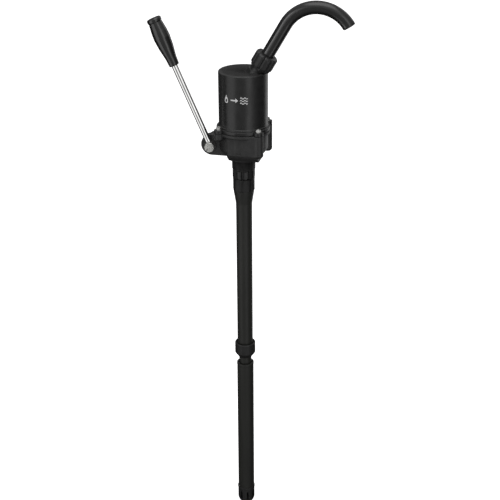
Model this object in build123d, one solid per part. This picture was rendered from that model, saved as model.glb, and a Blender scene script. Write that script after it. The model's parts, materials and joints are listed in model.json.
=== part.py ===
from build123d import *
from math import cos, sin, radians
import os

# Hand lever drum pump: a piston head that screws into a drum's bung, a lever at its side,
# a swivelling spout on top and a two-part suction tube below.
# Millimetres. The pump's axis is Z, its front faces -Y, its lever is on the -X side.

# --- heights along the pump's axis ---
SEAT_Z = 6.0
JOINT_Z = 67.0
GASKET_T = 1.0
GASKET_EDGE_GAP = 1.0
FLANGE_TOP_Z = 75.0
TOP_Z = 187.0
TOP_WALL = 6.0

# --- cylinder and its flange ---
CYL_R = 49.3
BORE_R = 44.5
FLANGE_R = 54.0
HOUSING_FLANGE_T = 6.0
TOP_CHAMFER = 1.4
TOP_RECESS_D = 1.2
TOP_RECESS_R = 46.3
BEAD_R = 50.6
BEAD_TOP_Z = 78.0
BEAD_SLOPE_H = 1.4
EAR_R = 9.8
EAR_OFFSET = 40.3
SCREW_R = 3.0
SCREW_DEPTH = 14.0
SCREW_TIP_GAP = 1.0
SCREW_HOLE_GAP = 0.3
SCREW_HEAD_AF = 10.0
SCREW_HEAD_H = 4.2
WASHER_R = 6.0
WASHER_T = 1.4

# --- lower housing ---
BOWL_Z = 24.0
BOWL_END_R = 36.0
BOWL_END_Z = 8.5
SEAT_R = 33.5
CAVITY_R = 40.0
CAVITY_FLOOR_Z = 16.0
BLOCK_LEFT_X = -21.0
BLOCK_FRONT_Y = -48.7
BLOCK_BOTTOM_Z = 11.0
BLOCK_FILLET = 13.0
REAR_COLUMN_Z = 11.0
FRONT_RIGHT_COLUMN_Z = 22.0
FRONT_LEFT_LUG_Z = 52.0

# --- lever shaft and its bearings ---
SHAFT_X = -61.0
SHAFT_Z = 36.0
BOSS_R = 21.8
BOSS_FRONT_Y = -23.0
BOSS_BACK_Y = -8.0
BOSS_TOP_Z = 53.0
TUNNEL_R = 17.0
TUNNEL_BACK_Y = 18.0
TUNNEL_CAVITY_R = 13.5
TUNNEL_HALF_Y = 8.0
ARM_POCKET_X = (-50.0, -38.0)
ARM_POCKET_HALF_Z = 17.0
FLOOR_POCKET_X = -32.0
FLOOR_POCKET_Z = 10.0
FLOOR_POCKET_HALF_Y = 7.0
SHAFT_R = 7.0
RUNNING_GAP = 0.05
BUSHING_R = 10.0
BUSHING_L = 7.0
SHAFT_END_GAP = 0.5
SEAL_L = 3.5
SEAL_INSET = 0.4
SHAFT_HEAD_R = 10.4
SHAFT_HEAD_Y = (-42.0, -23.5)
SHAFT_HEAD_CHAMFER = 0.8
LOCK_PIN_R = 2.0

# --- lever ---
LEVER_ANGLE = 23.5
LEVER_Y = -30.0
ROD_R = 6.1
ROD_START = -8.0
GRIP_START = 176.0
GRIP_END = 276.5
ROD_IN_GRIP_END = 265.0
GRIP_LIP_R = 9.2
GRIP_LIP_H = 1.2
GRIP_NECK_R = 10.2
GRIP_BODY = ((14.0, 11.0), (39.0, 14.6), (62.0, 16.4), (82.0, 14.9))
GRIP_WAIST_H = 89.5
GRIP_WAIST_R = 13.4
GRIP_CAP_H = 92.0
GRIP_CAP_R = 14.5
GRIP_CAP_CHAMFER = 2.0

# --- rocker arm and crosshead ---
ARM_HALF_T = 5.0
ARM_HALF_H = 7.0
ARM_SLOT_X = (-0.6, 4.5)
ARM_HUB_R = 12.0
ARM_HUB_HALF_Y = 7.5
SLOT_GAP = 0.7
PIN_R = 3.5
YOKE_HALF_X = 8.0
YOKE_HALF_Y = 10.6
YOKE_SLOT_HALF_Y = 5.6
YOKE_SLOT_TOP_Z = 50.0
YOKE_TOP_Z = 58.0
STEM_R = 5.0
STEM_SOCKET = 8.0

# --- piston ---
PISTON_Z = 110.0
PISTON_H = 14.0
PISTON_R = 44.0
SEAL_OUTER_R = 44.42
SEAL_INNER_R = 40.5
SEAL_H = 5.0
PORT_PCD_R = 16.0
PORT_R = 4.0
PORT_COUNT = 8
VALVE_R = 24.0
VALVE_T = 3.0
VALVE_LIFT = 4.0
STUD_R = 4.0
STUD_HEAD_R = 8.0
STUD_HEAD_H = 3.0
VALVE_GAP = 0.3

# --- outlet on the cylinder's top, tilted towards +X ---
OUTLET_X = 30.0
OUTLET_TILT = 30.0
OUTLET_BORE_R = 10.5
OUTLET_BOSS_R = 17.9
OUTLET_RING_R = 20.5
OUTLET_RING_S = (-14.0, 0.5)
OUTLET_TOP_S = 29.0
OUTLET_ROOT_S = -20.0
OUTLET_GASKET_T = 1.4
SPOUT_R = 12.9
SPOUT_WALL = 2.0
SPOUT_FLANGE_R = 17.8
SPOUT_FLANGE_S = (30.5, 33.5)
SPOUT_STRAIGHT_S = 107.6
SPOUT_BEND_R = 72.0
SPOUT_BEND = 118.5
NUT_S = (8.8, 40.5)
NUT_R = 22.0
NUT_SKIRT_R = 20.2
NUT_SKIRT_S = 14.5
NUT_LOBES = 8
NUT_LOBE_R = 3.4
NUT_LOBE_OUT = 1.1
NUT_CHAMFER = 3.0
NUT_BORE_R = 18.2
NUT_LIP_S = 33.9
NUT_LIP_R = 13.3

# --- neck, coupling nut and suction tubes ---
NECK_R = 23.9
NECK_BOTTOM_Z = -18.0
NECK_BORE_R = 15.0
SPIGOT_R = 19.6
SPIGOT_Z = -30.0
NECK_GASKET_T = 1.2
TUBE_NUT_R = 21.8
TUBE_NUT_RIB_R = 22.9
TUBE_NUT_RIB_W = 5.2
TUBE_NUT_RIBS = 12
TUBE_NUT_BOTTOM_Z = -35.5
NUT_THREAD_GAP = 0.15
TUBE_FIT_GAP = 0.2
TUBE_NUT_LIP_Z = -33.2
TUBE_NUT_LIP_R = 18.4
BELL_R = 22.4
BELL_BOTTOM_Z = -62.7
BELL_CONE_Z = -92.8
UPPER_TUBE_R = 16.6
TUBE_BORE_R = 14.0
UPPER_TUBE_Z = -432.0
COLLAR_R = 22.0
COLLAR_Z = (-442.0, -417.3)
COLLAR_RIM_R = 19.0
COLLAR_RIM_Z = -424.0
COLLAR_CONE_R = 14.6
COLLAR_CONE_Z = -452.0
INNER_TUBE_R = 13.2
INNER_TUBE_BORE_R = 11.2
INNER_TUBE_Z = (-768.0, -436.0)
LOWER_TUBE_R = 17.9
LOWER_TUBE_BORE_R = 15.5
LOWER_TUBE_Z = (-790.0, -466.8)
GUIDE_Z = (-488.0, -473.0)
SLIDE_GAP = 0.08
SLIDE_SEAL_Z = (-768.0, -756.0)

# --- foot and its valve ---
FOOT_FLANGE_R = 19.2
FOOT_R = 18.6
FOOT_BOTTOM_R = 16.0
FOOT_BOTTOM_ROUND = 2.0
FOOT_TAPER_H = 9.0
FOOT_FLOOR_T = 3.0
FOOT_SPIGOT_H = 5.0
FOOT_BOTTOM_Z = -830.0
FOOT_FLANGE_Z = -794.0
FOOT_CAVITY_R = 14.4
FOOT_SLOTS = 8
FOOT_SLOT_W = 5.0
FOOT_SLOT_Z = (-822.0, -800.0)
SEAT_RING_Z = (-789.0, -785.0)
SEAT_HOLE_R = 8.0
FOOT_VALVE_R = 10.5
FOOT_VALVE_T = 3.0
FOOT_VALVE_STEM_R = 2.5
FOOT_VALVE_WING_R = 7.6
FOOT_VALVE_WING_T = 1.8
FOOT_VALVE_GUIDE_H = 9.0
CAGE_Z = (-777.5, -775.5)
CAGE_RING_W = 1.6
CAGE_BAR_HALF_W = 2.0
CAGE_BAR_END_GAP = 1.0

# The outlet's own frame: Z along the tilted axis, starting in the cylinder's top face.
OUTLET = Plane(
    origin=(OUTLET_X, 0, TOP_Z),
    x_dir=(cos(radians(OUTLET_TILT)), 0, -sin(radians(OUTLET_TILT))),
    z_dir=(sin(radians(OUTLET_TILT)), 0, cos(radians(OUTLET_TILT))),
)

# The lever's own frame: Z along the rod, starting on the shaft's axis.
LEVER = Plane(
    origin=(SHAFT_X, LEVER_Y, SHAFT_Z),
    x_dir=(cos(radians(LEVER_ANGLE)), 0, sin(radians(LEVER_ANGLE))),
    z_dir=(-sin(radians(LEVER_ANGLE)), 0, cos(radians(LEVER_ANGLE))),
)

EARS = [(sx * EAR_OFFSET, sy * EAR_OFFSET) for sx in (-1, 1) for sy in (-1, 1)]


def disc(radius, low, high, x=0.0, y=0.0):
    """A cylinder along Z between two heights."""
    solid = Cylinder(radius, high - low, align=(Align.CENTER, Align.CENTER, Align.MIN))
    return Pos(x, y, low) * solid


def ring(outer, inner, low, high, x=0.0, y=0.0):
    """A plain ring along Z."""
    return disc(outer, low, high, x, y) - disc(inner, low, high, x, y)


def y_disc(radius, near, far, x=SHAFT_X, z=SHAFT_Z):
    """A cylinder along Y between two depths."""
    solid = Cylinder(radius, far - near, align=(Align.CENTER, Align.CENTER, Align.MIN))
    return Pos(x, near, z) * Rot(-90, 0, 0) * solid


def block(low, high):
    """A box between two corners."""
    size = [b - a for a, b in zip(low, high)]
    middle = [(a + b) / 2 for a, b in zip(low, high)]
    return Pos(*middle) * Box(*size)


def turned(points):
    """A solid of revolution about Z from (radius, height) points."""
    outline = Polyline([(radius, 0, height) for radius, height in points], close=True)
    return revolve(make_face(outline), Axis.Z, 360)


def around(solid, count, start=0.0):
    """Copies of a solid, evenly turned about Z."""
    return [Rot(0, 0, start + 360 / count * index) * solid for index in range(count)]


def tunnel_shape(radius, near, far):
    """A stadium along X, from the shaft's axis to the pump's axis, with a round left end."""
    body = block((SHAFT_X, near, SHAFT_Z - radius), (0, far, SHAFT_Z + radius))
    return body + y_disc(radius, near, far)


def bowl():
    """The housing's round body with its bowl-shaped underside."""
    side = Line((0, 0, JOINT_Z), (CYL_R, 0, JOINT_Z))
    wall = Line((CYL_R, 0, JOINT_Z), (CYL_R, 0, BOWL_Z))
    curve = ThreePointArc((CYL_R, 0, BOWL_Z), (CYL_R - 4.0, 0, BOWL_Z - 8.6), (BOWL_END_R, 0, BOWL_END_Z))
    lip = ThreePointArc(
        (BOWL_END_R, 0, BOWL_END_Z),
        (BOWL_END_R - 0.8, 0, SEAT_Z + 0.9),
        (SEAT_R, 0, SEAT_Z),
    )
    floor = Line((SEAT_R, 0, SEAT_Z), (0, 0, SEAT_Z))
    axis = Line((0, 0, SEAT_Z), (0, 0, JOINT_Z))
    return revolve(make_face([side, wall, curve, lip, floor, axis]), Axis.Z, 360)


def front_block():
    """The flat-faced block at the front, with its rounded lower edge."""
    solid = block((BLOCK_LEFT_X, BLOCK_FRONT_Y, BLOCK_BOTTOM_Z), (EAR_OFFSET, 0, JOINT_Z))
    lower = solid.edges().filter_by(Axis.X).sort_by(Axis.Z)[:2].sort_by(Axis.Y)[0]
    return fillet(lower, BLOCK_FILLET)


def shaft_boss():
    """The bearing boss at the front of the tunnel that holds the lever shaft, and the tunnel behind it."""
    web = block((SHAFT_X, BOSS_FRONT_Y, SHAFT_Z - BOSS_R), (0, BOSS_BACK_Y, BOSS_TOP_Z))
    boss = web + y_disc(BOSS_R, BOSS_FRONT_Y, BOSS_BACK_Y)
    return boss + tunnel_shape(TUNNEL_R, BOSS_BACK_Y, TUNNEL_BACK_Y)


def arm_space():
    """The space that the rocker arm swings in: tunnel, a taller pocket in the wall and a floor pocket."""
    space = tunnel_shape(TUNNEL_CAVITY_R, -TUNNEL_HALF_Y, TUNNEL_HALF_Y)
    left, right = ARM_POCKET_X
    space += block(
        (left, -TUNNEL_HALF_Y, SHAFT_Z - ARM_POCKET_HALF_Z),
        (right, TUNNEL_HALF_Y, SHAFT_Z + ARM_POCKET_HALF_Z),
    )
    return space + block(
        (FLOOR_POCKET_X, -FLOOR_POCKET_HALF_Y, FLOOR_POCKET_Z),
        (0, FLOOR_POCKET_HALF_Y, SHAFT_Z),
    )


def column_bottom(x, y):
    """The height that the ear column at x, y reaches down to."""
    if y > 0:
        return REAR_COLUMN_Z
    return FRONT_LEFT_LUG_Z if x < 0 else FRONT_RIGHT_COLUMN_Z


def crank_housing():
    """The lower housing: bowl, front block, shaft boss, ear columns and the bung thread's neck."""
    body = bowl() + front_block() + shaft_boss()
    body += disc(FLANGE_R, JOINT_Z - HOUSING_FLANGE_T, JOINT_Z)
    for x, y in EARS:
        body += disc(EAR_R, column_bottom(x, y), JOINT_Z, x, y)
    body += disc(NECK_R, NECK_BOTTOM_Z, SEAT_Z)
    body += disc(SPIGOT_R, SPIGOT_Z, NECK_BOTTOM_Z)
    body -= disc(CAVITY_R, CAVITY_FLOOR_Z, JOINT_Z)
    body -= disc(NECK_BORE_R, SPIGOT_Z, CAVITY_FLOOR_Z)
    body -= arm_space()
    body -= y_disc(BUSHING_R, BOSS_FRONT_Y, -TUNNEL_HALF_Y)
    body -= y_disc(BUSHING_R, TUNNEL_HALF_Y, TUNNEL_HALF_Y + BUSHING_L)
    for x, y in EARS:
        body -= disc(SCREW_R, JOINT_Z - SCREW_DEPTH, JOINT_Z, x, y)
    return body


def cylinder():
    """The moulded cylinder: barrel, closed top, bolt flange and the tilted outlet neck."""
    low = JOINT_Z + GASKET_T
    body = turned([
        (0, low), (FLANGE_R, low), (FLANGE_R, FLANGE_TOP_Z), (BEAD_R, FLANGE_TOP_Z), (BEAD_R, BEAD_TOP_Z),
        (CYL_R, BEAD_TOP_Z + BEAD_SLOPE_H), (CYL_R, TOP_Z - TOP_CHAMFER), (CYL_R - TOP_CHAMFER, TOP_Z),
        (0, TOP_Z),
    ])
    for x, y in EARS:
        body += disc(EAR_R, low, FLANGE_TOP_Z, x, y)
    body += OUTLET * disc(OUTLET_BOSS_R, OUTLET_ROOT_S, OUTLET_TOP_S)
    body += OUTLET * disc(OUTLET_RING_R, *OUTLET_RING_S)
    recess = disc(TOP_RECESS_R, TOP_Z - TOP_RECESS_D, TOP_Z)
    recess -= block((-CYL_R, -CYL_R, TOP_Z - TOP_RECESS_D), (CYL_R, 0, TOP_Z))
    recess -= OUTLET * disc(OUTLET_BOSS_R, OUTLET_ROOT_S, OUTLET_TOP_S)
    body -= recess
    body -= disc(BORE_R, low, TOP_Z - TOP_WALL)
    body -= OUTLET * disc(OUTLET_BORE_R, OUTLET_ROOT_S, OUTLET_TOP_S)
    for x, y in EARS:
        body -= disc(SCREW_R + SCREW_HOLE_GAP, low, FLANGE_TOP_Z, x, y)
    return body


def cylinder_gasket():
    """The flat gasket between housing and cylinder."""
    low, high = JOINT_Z, JOINT_Z + GASKET_T
    inner = BORE_R + GASKET_EDGE_GAP / 2
    body = ring(FLANGE_R - GASKET_EDGE_GAP, inner, low, high)
    for x, y in EARS:
        body += disc(EAR_R - GASKET_EDGE_GAP, low, high, x, y)
    body -= disc(inner, low, high)
    for x, y in EARS:
        body -= disc(SCREW_R + SCREW_HOLE_GAP, low, high, x, y)
    return body


def flange_screw(x, y):
    """One hexagon screw of the flange."""
    head_z = FLANGE_TOP_Z + WASHER_T
    hexagon = RegularPolygon(SCREW_HEAD_AF / 2, 6, major_radius=False)
    head = Pos(x, y, head_z) * extrude(hexagon, SCREW_HEAD_H)
    return head + disc(SCREW_R, JOINT_Z - SCREW_DEPTH + SCREW_TIP_GAP, head_z, x, y)


def flange_screws():
    return Compound([flange_screw(x, y).solid() for x, y in EARS])


def flange_washers():
    inner = SCREW_R + SCREW_HOLE_GAP
    low, high = FLANGE_TOP_Z, FLANGE_TOP_Z + WASHER_T
    return Compound([ring(WASHER_R, inner, low, high, x, y).solid() for x, y in EARS])


def bushing(near):
    """One plain shaft bearing."""
    far = near + BUSHING_L
    return y_disc(BUSHING_R, near, far) - y_disc(SHAFT_R + RUNNING_GAP, near, far)


def front_bushing():
    return bushing(-TUNNEL_HALF_Y - BUSHING_L)


def rear_bushing():
    return bushing(TUNNEL_HALF_Y)


def shaft_seal():
    """The seal in front of the front bearing."""
    near = BOSS_FRONT_Y + SEAL_INSET
    return y_disc(BUSHING_R, near, near + SEAL_L) - y_disc(SHAFT_R + RUNNING_GAP, near, near + SEAL_L)


def lever_shaft():
    """The shaft with its thick outer head, bored across for the rod."""
    near, far = SHAFT_HEAD_Y
    head = y_disc(SHAFT_HEAD_R, near, far)
    head = chamfer(head.edges().filter_by(GeomType.CIRCLE), SHAFT_HEAD_CHAMFER)
    shaft = head + y_disc(SHAFT_R, far, TUNNEL_HALF_Y + BUSHING_L - SHAFT_END_GAP)
    shaft -= LEVER * disc(ROD_R, ROD_START, 2 * SHAFT_HEAD_R)
    shaft -= Pos(SHAFT_X, 0, SHAFT_Z) * disc(LOCK_PIN_R, -2 * SHAFT_R, 2 * SHAFT_R)
    return shaft


def lever_rod():
    """The lever's round rod."""
    return LEVER * disc(ROD_R, ROD_START, ROD_IN_GRIP_END)


def lever_grip():
    """The moulded hand grip: narrow neck, full belly, waist and end cap."""
    lip = (GRIP_NECK_R, 0, GRIP_START + GRIP_LIP_H)
    waist = (GRIP_WAIST_R, 0, GRIP_START + GRIP_WAIST_H)
    body = [(radius, 0, GRIP_START + along) for along, radius in GRIP_BODY]
    profile = Spline(lip, *body, waist, tangents=[(0, 0, 1), (0, 0, 1)])
    cap = Polyline(
        waist, (GRIP_CAP_R, 0, GRIP_START + GRIP_CAP_H), (GRIP_CAP_R, 0, GRIP_END - GRIP_CAP_CHAMFER),
        (GRIP_CAP_R - GRIP_CAP_CHAMFER, 0, GRIP_END), (0, 0, GRIP_END),
    )
    closing = Polyline((0, 0, GRIP_END), (0, 0, GRIP_START), (GRIP_LIP_R, 0, GRIP_START), lip)
    grip = revolve(make_face([profile, cap, closing]), Axis.Z, 360)
    return LEVER * (grip - disc(ROD_R, GRIP_START, ROD_IN_GRIP_END))


def arm_slot():
    """The long hole that the crosshead pin slides in."""
    left, right = ARM_SLOT_X
    half = PIN_R + SLOT_GAP
    slot = y_disc(half, -ARM_HALF_T, ARM_HALF_T, left) + y_disc(half, -ARM_HALF_T, ARM_HALF_T, right)
    return slot + block((left, -ARM_HALF_T, SHAFT_Z - half), (right, ARM_HALF_T, SHAFT_Z + half))


def rocker_arm():
    """The arm inside the housing that drives the crosshead pin through its slotted end."""
    tip = ARM_SLOT_X[1]
    arm = block((SHAFT_X, -ARM_HALF_T, SHAFT_Z - ARM_HALF_H), (tip, ARM_HALF_T, SHAFT_Z + ARM_HALF_H))
    arm += y_disc(ARM_HALF_H, -ARM_HALF_T, ARM_HALF_T, tip)
    arm += y_disc(ARM_HUB_R, -ARM_HUB_HALF_Y, ARM_HUB_HALF_Y)
    arm -= y_disc(SHAFT_R, -ARM_HUB_HALF_Y, ARM_HUB_HALF_Y)
    arm -= arm_slot()
    return arm - Pos(SHAFT_X, 0, SHAFT_Z) * disc(LOCK_PIN_R, -2 * ARM_HUB_R, 2 * ARM_HUB_R)


def arm_pin():
    """The pin that locks the rocker arm to the shaft."""
    reach = ARM_HUB_R - SHAFT_END_GAP
    return Pos(SHAFT_X, 0, SHAFT_Z) * disc(LOCK_PIN_R, -reach, reach)


def piston_rod():
    """The piston's stem with the yoke that holds the crosshead pin."""
    yoke = block((-YOKE_HALF_X, -YOKE_HALF_Y, SHAFT_Z), (YOKE_HALF_X, YOKE_HALF_Y, YOKE_TOP_Z))
    yoke += y_disc(YOKE_HALF_X, -YOKE_HALF_Y, YOKE_HALF_Y, 0)
    yoke -= block(
        (-YOKE_HALF_X, -YOKE_SLOT_HALF_Y, SHAFT_Z - YOKE_HALF_X),
        (YOKE_HALF_X, YOKE_SLOT_HALF_Y, YOKE_SLOT_TOP_Z),
    )
    yoke -= y_disc(PIN_R, -YOKE_HALF_Y, YOKE_HALF_Y, 0)
    return yoke + disc(STEM_R, YOKE_TOP_Z, PISTON_Z + STEM_SOCKET)


def crosshead_pin():
    """The pin across the yoke."""
    return y_disc(PIN_R, -YOKE_HALF_Y, YOKE_HALF_Y, 0)


def piston():
    """The piston disc with its seal groove and its ring of ports."""
    top = PISTON_Z + PISTON_H
    groove_z = PISTON_Z + (PISTON_H - SEAL_H) / 2
    body = disc(PISTON_R, PISTON_Z, top)
    body -= ring(PISTON_R + 1.0, SEAL_INNER_R, groove_z, groove_z + SEAL_H)
    body -= disc(STEM_R, PISTON_Z, PISTON_Z + STEM_SOCKET)
    body -= disc(STUD_R, PISTON_Z + STEM_SOCKET, top)
    for port in around(disc(PORT_R, PISTON_Z, top, PORT_PCD_R), PORT_COUNT):
        body -= port
    return body


def piston_seal():
    """The sliding seal ring in the piston's groove."""
    groove_z = PISTON_Z + (PISTON_H - SEAL_H) / 2
    return ring(SEAL_OUTER_R, SEAL_INNER_R, groove_z, groove_z + SEAL_H)


def valve_stud():
    """The stud that guides the piston valve and stops its lift."""
    top = PISTON_Z + PISTON_H
    head_z = top + VALVE_T + VALVE_LIFT + VALVE_GAP
    stud = disc(STUD_R, PISTON_Z + STEM_SOCKET, head_z)
    return stud + disc(STUD_HEAD_R, head_z, head_z + STUD_HEAD_H)


def piston_valve():
    """The disc that covers the piston's ports and lifts on the down stroke."""
    top = PISTON_Z + PISTON_H
    return ring(VALVE_R, STUD_R + VALVE_GAP, top, top + VALVE_T)


def outlet_gasket():
    """The flat seal under the spout's flange."""
    top = OUTLET_TOP_S + OUTLET_GASKET_T
    return OUTLET * ring(SPOUT_FLANGE_R - GASKET_EDGE_GAP, OUTLET_BORE_R, OUTLET_TOP_S, top)


def spout_solid(radius):
    """A round bar along the spout's centre line, in the outlet's frame."""
    start = (0, 0, SPOUT_FLANGE_S[0])
    bend_start = (0, 0, SPOUT_STRAIGHT_S)
    half, full = radians(SPOUT_BEND / 2), radians(SPOUT_BEND)
    middle = (SPOUT_BEND_R * (1 - cos(half)), 0, SPOUT_STRAIGHT_S + SPOUT_BEND_R * sin(half))
    end = (SPOUT_BEND_R * (1 - cos(full)), 0, SPOUT_STRAIGHT_S + SPOUT_BEND_R * sin(full))
    path = Wire([Line(start, bend_start), ThreePointArc(bend_start, middle, end)])
    return sweep(Plane.XY.offset(SPOUT_FLANGE_S[0]) * Circle(radius), path=path)


def spout_tube():
    """The curved spout with the flange that the union nut holds down."""
    outer = spout_solid(SPOUT_R) + disc(SPOUT_FLANGE_R, *SPOUT_FLANGE_S)
    return OUTLET * (outer - spout_solid(SPOUT_R - SPOUT_WALL))


def union_nut():
    """The lobed nut that clamps the spout's flange on the outlet."""
    low, high = NUT_S
    shoulder = high - NUT_CHAMFER
    body = turned([
        (0, low), (NUT_SKIRT_R, low), (NUT_SKIRT_R, NUT_SKIRT_S), (NUT_R, NUT_SKIRT_S), (NUT_R, shoulder),
        (NUT_R - NUT_CHAMFER, high), (0, high),
    ])
    lobe = disc(NUT_LOBE_R, NUT_SKIRT_S, shoulder, NUT_R - NUT_LOBE_R + NUT_LOBE_OUT)
    for item in around(lobe, NUT_LOBES, 180 / NUT_LOBES):
        body += item
    body -= disc(NUT_BORE_R, low, NUT_LIP_S)
    body -= disc(NUT_LIP_R, NUT_LIP_S, high)
    return OUTLET * body


def neck_gasket():
    """The flat seal between the neck and the suction tube's flange."""
    return ring(SPIGOT_R - NUT_THREAD_GAP, NECK_BORE_R, SPIGOT_Z - NECK_GASKET_T, SPIGOT_Z)


def tube_nut():
    """The ribbed nut that holds the suction tube to the neck."""
    body = disc(TUBE_NUT_R, TUBE_NUT_BOTTOM_Z, NECK_BOTTOM_Z)
    rib = block(
        (TUBE_NUT_R - 1.0, -TUBE_NUT_RIB_W / 2, TUBE_NUT_BOTTOM_Z),
        (TUBE_NUT_RIB_R, TUBE_NUT_RIB_W / 2, NECK_BOTTOM_Z),
    )
    for item in around(rib, TUBE_NUT_RIBS):
        body += item
    body -= disc(SPIGOT_R + NUT_THREAD_GAP, TUBE_NUT_LIP_Z, NECK_BOTTOM_Z)
    body -= disc(TUBE_NUT_LIP_R, TUBE_NUT_BOTTOM_Z, TUBE_NUT_LIP_Z)
    return body


def upper_tube():
    """The upper suction tube with its bell-shaped head and captured flange."""
    flange_top = SPIGOT_Z - NECK_GASKET_T
    flange_low = TUBE_NUT_LIP_Z + TUBE_FIT_GAP
    flange_r = SPIGOT_R - NUT_THREAD_GAP
    waist_r = TUBE_NUT_LIP_R - TUBE_FIT_GAP
    bell_top = TUBE_NUT_BOTTOM_Z - TUBE_FIT_GAP
    return turned([
        (TUBE_BORE_R, flange_top), (flange_r, flange_top), (flange_r, flange_low), (waist_r, flange_low),
        (waist_r, bell_top), (BELL_R, bell_top), (BELL_R, BELL_BOTTOM_Z), (UPPER_TUBE_R, BELL_CONE_Z),
        (UPPER_TUBE_R, UPPER_TUBE_Z), (TUBE_BORE_R, UPPER_TUBE_Z),
    ])


def tube_collar():
    """The collar that joins the upper tube to the narrower inner tube."""
    low, high = COLLAR_Z
    shoulder = INNER_TUBE_Z[1]
    return turned([
        (COLLAR_RIM_R, high), (COLLAR_R, high), (COLLAR_R, low), (COLLAR_CONE_R, COLLAR_CONE_Z),
        (INNER_TUBE_R, COLLAR_CONE_Z), (INNER_TUBE_R, shoulder), (INNER_TUBE_BORE_R, shoulder),
        (INNER_TUBE_BORE_R, UPPER_TUBE_Z), (UPPER_TUBE_R, UPPER_TUBE_Z), (UPPER_TUBE_R, COLLAR_RIM_Z),
        (COLLAR_RIM_R, COLLAR_RIM_Z),
    ])


def inner_tube():
    """The narrow tube that the lower section slides on."""
    return ring(INNER_TUBE_R, INNER_TUBE_BORE_R, *INNER_TUBE_Z)


def slide_seal():
    """The seal ring at the inner tube's lower end."""
    return ring(LOWER_TUBE_BORE_R - SLIDE_GAP, INNER_TUBE_R, *SLIDE_SEAL_Z)


def lower_tube():
    """The outer tube of the sliding lower section."""
    return ring(LOWER_TUBE_R, LOWER_TUBE_BORE_R, *LOWER_TUBE_Z)


def guide_bush():
    """The guide ring in the lower tube's open top."""
    return ring(LOWER_TUBE_BORE_R, INNER_TUBE_R + SLIDE_GAP, *GUIDE_Z)


def foot_strainer():
    """The slotted foot, pushed into the lower tube."""
    top = SEAT_RING_Z[1] + FOOT_SPIGOT_H
    outer = turned([
        (0, FOOT_BOTTOM_Z), (FOOT_BOTTOM_R - FOOT_BOTTOM_ROUND, FOOT_BOTTOM_Z),
        (FOOT_BOTTOM_R, FOOT_BOTTOM_Z + FOOT_BOTTOM_ROUND), (FOOT_R, FOOT_BOTTOM_Z + FOOT_TAPER_H),
        (FOOT_R, FOOT_FLANGE_Z), (FOOT_FLANGE_R, FOOT_FLANGE_Z),
        (FOOT_FLANGE_R, LOWER_TUBE_Z[0]), (LOWER_TUBE_BORE_R, LOWER_TUBE_Z[0]),
        (LOWER_TUBE_BORE_R, top), (0, top),
    ])
    outer -= disc(FOOT_CAVITY_R, FOOT_BOTTOM_Z + FOOT_FLOOR_T, top)
    low, high = FOOT_SLOT_Z
    slot = block((0, -FOOT_SLOT_W / 2, low), (2 * FOOT_R, FOOT_SLOT_W / 2, high))
    for item in around(slot, FOOT_SLOTS, 180 / FOOT_SLOTS):
        outer -= item
    return outer


def valve_seat():
    """The foot valve's seat ring."""
    return ring(FOOT_CAVITY_R, SEAT_HOLE_R, *SEAT_RING_Z)


def valve_cage():
    """The ring and bar that stop the foot valve's lift."""
    low, high = CAGE_Z
    body = ring(LOWER_TUBE_BORE_R, FOOT_CAVITY_R - CAGE_RING_W, low, high)
    bar_end = FOOT_CAVITY_R - CAGE_BAR_END_GAP
    return body + block((-bar_end, -CAGE_BAR_HALF_W, low), (bar_end, CAGE_BAR_HALF_W, high))


def foot_valve():
    """The foot valve's disc with its winged guide below."""
    top = SEAT_RING_Z[1]
    low = top - FOOT_VALVE_GUIDE_H
    half = FOOT_VALVE_WING_T / 2
    body = disc(FOOT_VALVE_R, top, top + FOOT_VALVE_T) + disc(FOOT_VALVE_STEM_R, low, top)
    wing = block((-FOOT_VALVE_WING_R, -half, low), (FOOT_VALVE_WING_R, half, top))
    return body + wing + Rot(0, 0, 90) * wing


MAKERS = [
    crank_housing, cylinder, cylinder_gasket, flange_screws, flange_washers, front_bushing, rear_bushing,
    shaft_seal, outlet_gasket, neck_gasket, tube_nut, upper_tube, tube_collar, inner_tube, slide_seal,
    lever_shaft, lever_rod, lever_grip, rocker_arm, arm_pin, piston_rod, crosshead_pin, piston,
    piston_seal, valve_stud, piston_valve, spout_tube, union_nut, lower_tube, guide_bush, foot_strainer,
    valve_seat, valve_cage, foot_valve,
]

os.makedirs("parts", exist_ok=True)
for maker in MAKERS:
    export_step(maker(), f"parts/{maker.__name__}.step")
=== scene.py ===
import json
from math import atan2, ceil, cos, pi, radians, sin, tan

import bmesh
import bpy
from mathutils import Matrix, Vector


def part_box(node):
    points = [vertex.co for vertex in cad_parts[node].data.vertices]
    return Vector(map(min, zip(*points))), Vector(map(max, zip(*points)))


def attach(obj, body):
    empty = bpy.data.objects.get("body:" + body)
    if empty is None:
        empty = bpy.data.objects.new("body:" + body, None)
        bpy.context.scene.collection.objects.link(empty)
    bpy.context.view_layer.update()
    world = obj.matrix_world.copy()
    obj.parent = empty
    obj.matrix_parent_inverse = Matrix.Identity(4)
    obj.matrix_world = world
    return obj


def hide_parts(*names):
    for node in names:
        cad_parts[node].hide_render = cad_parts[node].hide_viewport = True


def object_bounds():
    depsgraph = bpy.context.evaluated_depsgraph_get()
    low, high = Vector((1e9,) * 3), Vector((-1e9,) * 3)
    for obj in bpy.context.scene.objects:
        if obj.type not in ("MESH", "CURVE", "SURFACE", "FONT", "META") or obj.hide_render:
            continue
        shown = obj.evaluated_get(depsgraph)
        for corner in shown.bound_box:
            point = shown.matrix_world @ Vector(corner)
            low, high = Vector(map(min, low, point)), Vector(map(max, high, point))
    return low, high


# Looks for the hand lever drum pump. Lengths in this file are millimetres unless a name says metres;
# MM turns them into the frame's metres. The pump's axis is Z, its front faces -Y.

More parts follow.
